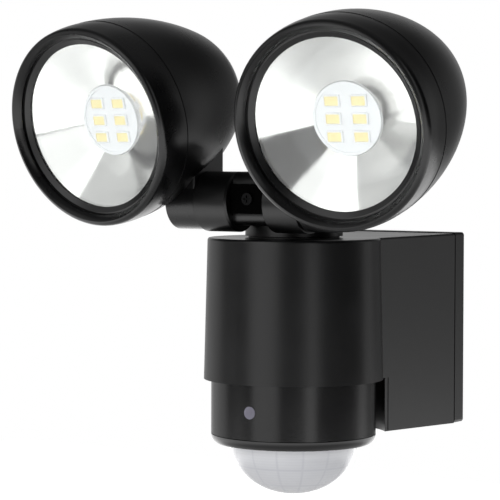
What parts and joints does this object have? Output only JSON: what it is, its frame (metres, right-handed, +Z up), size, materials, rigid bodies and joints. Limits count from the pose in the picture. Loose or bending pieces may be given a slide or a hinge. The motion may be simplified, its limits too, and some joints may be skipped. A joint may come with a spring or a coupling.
{
  "type": "motion sensor security light",
  "caption": "Black twin-head motion sensor wall light: two tilting egg-shaped LED lamps on a swivelling bracket above a round housing with a turning milky dome sensor.",
  "frame": {"origin": "centre of the wall plate's back face, on the wall", "axes": "+X to the right seen from the front, +Y into the wall, +Z up"},
  "size_m": [0.2166, 0.1815, 0.2146],
  "materials": {
    "case_plastic": "satin black, finely textured",
    "bracket_plastic": "satin black",
    "head_plastic": "satin black, finely textured",
    "sensor_plastic": "satin black, finely textured",
    "knob_plastic": "satin black",
    "nylon": "natural nylon",
    "seal_rubber": "matte",
    "circuit_board": "green solder mask",
    "led_board_white": "white solder mask",
    "led_phosphor": "yellow phosphor",
    "mirror_coat": "vacuum-metallised plastic",
    "clear_lens": "clear tempered glass",
    "milky_lens": "milky polyethylene",
    "cell_window": "smoky clear plastic",
    "cell_face": "ceramic",
    "sensor_can": "nickel-plated",
    "zinc_steel": "zinc-plated",
    "sink_aluminium": "as cast",
    "terminal_white": "white polyamide",
    "coil_tape": "yellow tape over ferrite",
    "can_sleeve": "dark blue sleeve",
    "relay_case": "blue plastic",
    "pot_body": "blue plastic"
  },
  "bodies": {
    "case": {"wall_plate": "case_plastic", "wall_gasket": "seal_rubber", "cable_grommet": "seal_rubber", "housing": "case_plastic", "housing_screws": "zinc_steel", "driver_board": "circuit_board", "transformer": "coil_tape", "capacitor": "can_sleeve", "relay": "relay_case", "terminal_block": "terminal_white", "terminal_screws": "zinc_steel", "control_board": "circuit_board", "control_pots": "pot_body", "hub_washer": "knob_plastic"},
    "bracket": {"hub": "bracket_plastic", "hub_nut": "nylon", "bracket_cover": "bracket_plastic", "cover_screw": "zinc_steel", "pivot_tube_left": "zinc_steel", "pivot_tube_right": "zinc_steel", "pivot_nuts_left": "zinc_steel", "pivot_nuts_right": "zinc_steel", "pivot_washer_left": "nylon", "pivot_washer_right": "nylon"},
    "sensor": {"sensor_ring": "sensor_plastic", "sensor_nut": "nylon", "sensor_bezel": "sensor_plastic", "fresnel_dome": "milky_lens", "dome_clamp": "nylon", "board_spacer": "nylon", "sensor_board": "circuit_board", "pyro_sensor": "sensor_can", "photocell_window": "cell_window", "photocell": "cell_face"},
    "time_knob": {"time_knob": "knob_plastic"},
    "lux_knob": {"lux_knob": "knob_plastic"},
    "head_left": {"head_shell_left": "head_plastic", "bezel_left": "head_plastic", "head_seal_left": "seal_rubber", "lens_left": "clear_lens", "reflector_left": "mirror_coat", "led_board_left": "led_board_white", "led_rim_left": "led_board_white", "led_chips_left": "led_phosphor", "heat_sink_left": "sink_aluminium", "head_screws_left": "zinc_steel"},
    "head_right": {"head_shell_right": "head_plastic", "bezel_right": "head_plastic", "head_seal_right": "seal_rubber", "lens_right": "clear_lens", "reflector_right": "mirror_coat", "led_board_right": "led_board_white", "led_rim_right": "led_board_white", "led_chips_right": "led_phosphor", "heat_sink_right": "sink_aluminium", "head_screws_right": "zinc_steel"}
  },
  "joints": [
    {"name": "bracket_swivel", "type": "hinge", "parent": "case", "child": "bracket", "pos_m": [0, -0.098, 0.045], "axis": [0, 0, 1], "range_deg": [-40, 40]},
    {"name": "head_left_tilt", "type": "hinge", "parent": "bracket", "child": "head_left", "pos_m": [-0.0347, -0.1259, 0.0614], "axis": [1, 0, 0], "range_deg": [-45, 50]},
    {"name": "head_right_tilt", "type": "hinge", "parent": "bracket", "child": "head_right", "pos_m": [0.0347, -0.1259, 0.0614], "axis": [1, 0, 0], "range_deg": [-45, 50]},
    {"name": "sensor_turn", "type": "hinge", "parent": "case", "child": "sensor", "pos_m": [0, -0.098, -0.012], "axis": [0, 0, 1], "range_deg": [-45, 45]},
    {"name": "time_knob_turn", "type": "hinge", "parent": "case", "child": "time_knob", "pos_m": [-0.012, -0.036, -0.043], "axis": [0, 0, 1], "range_deg": [-135, 135]},
    {"name": "lux_knob_turn", "type": "hinge", "parent": "case", "child": "lux_knob", "pos_m": [0.012, -0.036, -0.043], "axis": [0, 0, 1], "range_deg": [-135, 135]}
  ]
}
